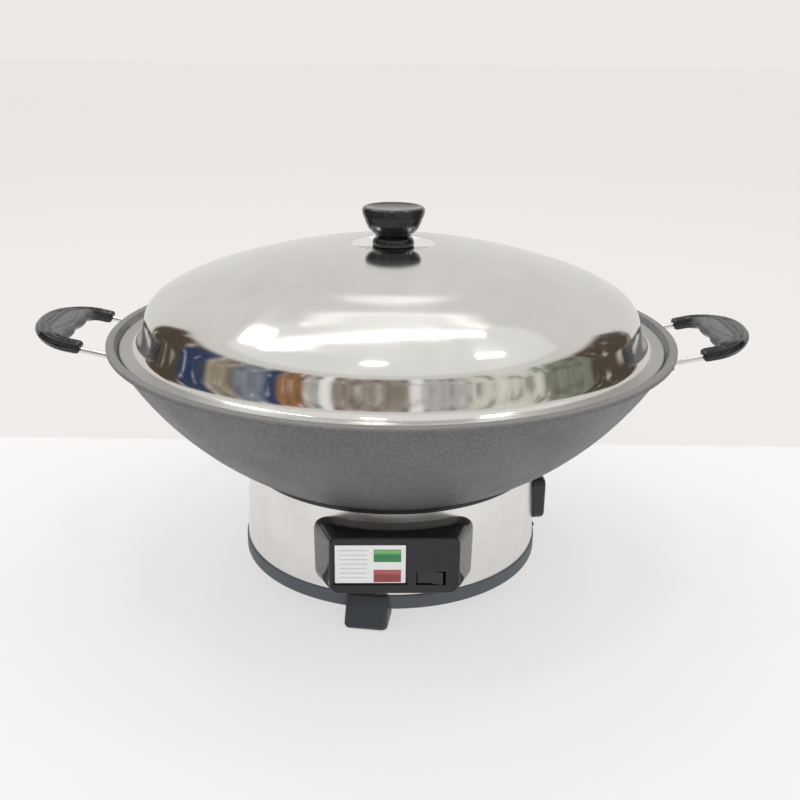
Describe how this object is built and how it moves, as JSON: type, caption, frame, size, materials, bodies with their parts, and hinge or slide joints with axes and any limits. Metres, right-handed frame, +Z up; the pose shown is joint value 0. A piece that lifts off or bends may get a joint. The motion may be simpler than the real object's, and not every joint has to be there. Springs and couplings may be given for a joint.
{
  "type": "electric wok",
  "caption": "Electric wok: cast-iron bowl with ear handles and a lift-off domed steel lid, on a round steel base with a heating element, control box and power inlet.",
  "frame": {"origin": "on the table, under the middle of the bowl", "axes": "+Z up, the control box faces -Y, the handles lie along X with the power inlet near +X"},
  "size_m": [0.4836, 0.38, 0.2512],
  "materials": {
    "cast_iron": "seasoned, fine speckle",
    "rod_steel": "polished",
    "grip_black": "moulded, satin top",
    "lid_steel": "polished stainless",
    "knob_black": "moulded",
    "enamel_black": "satin",
    "band_steel": "satin",
    "base_plastic": "fine grain",
    "plate_steel": "galvanised",
    "zinc_steel": "zinc plated",
    "element_sheath": "heat darkened",
    "dish_aluminium": "spun",
    "ceramic_white": "matt",
    "sleeve_white": "glass sleeving",
    "lead_brown": "glass sleeving",
    "lead_blue": "glass sleeving",
    "lead_green": "glass sleeving",
    "brass": "plain",
    "box_black": "glossy",
    "label_white": "satin",
    "lens_green": "clear tinted",
    "lens_red": "clear tinted",
    "lamp_glass": "clear",
    "switch_black": "plain",
    "rocker_black": "glossy",
    "inlet_grey": "plain"
  },
  "bodies": {
    "wok": {"wok_bowl": "cast_iron", "right_handle_rod": "rod_steel", "left_handle_rod": "rod_steel", "right_grip": "grip_black", "left_grip": "grip_black", "seat_ring": "enamel_black", "base_band": "band_steel", "base_ring": "base_plastic", "foot_front": "base_plastic", "foot_right": "base_plastic", "foot_left": "base_plastic", "foot_screws": "zinc_steel", "base_plate": "plate_steel", "plate_screws": "zinc_steel", "centre_stud": "zinc_steel", "clamp_nut": "zinc_steel", "dish_nut": "zinc_steel", "base_nut": "zinc_steel", "base_washer": "zinc_steel", "heating_element": "element_sheath", "element_pins": "zinc_steel", "element_clamp": "zinc_steel", "reflector_dish": "dish_aluminium", "element_bushes": "ceramic_white", "limiter": "ceramic_white", "limiter_bracket": "zinc_steel", "thermal_fuse": "sleeve_white", "terminal_block": "ceramic_white", "live_lead": "lead_brown", "switched_lead": "lead_brown", "limiter_lead": "lead_brown", "neutral_lead": "lead_blue", "earth_lead": "lead_green", "earth_screw": "brass", "earth_tag": "brass", "control_box": "box_black", "box_screws": "zinc_steel", "label_plate": "label_white", "green_lens": "lens_green", "red_lens": "lens_red", "green_lamp": "lamp_glass", "red_lamp": "lamp_glass", "switch_body": "switch_black", "rocker_pin": "zinc_steel", "switch_terminals": "brass", "inlet_housing": "inlet_grey", "inlet_pins": "brass", "inlet_screws": "zinc_steel", "inlet_nuts": "zinc_steel"},
    "lid": {"lid_shell": "lid_steel", "knob_collar": "knob_black", "lid_knob": "knob_black", "knob_insert": "brass", "lid_screw": "zinc_steel", "lid_washer": "zinc_steel"},
    "rocker": {"rocker": "rocker_black"}
  },
  "joints": [
    {"name": "lid_lift", "type": "slide", "parent": "wok", "child": "lid", "axis": [0, 0, 1], "range_m": [0, 0.12]},
    {"name": "rocker_tilt", "type": "hinge", "parent": "wok", "child": "rocker", "pos_m": [0.02631, -0.11463, 0.0415], "axis": [0, 0, 1], "range_deg": [0, 18]}
  ]
}
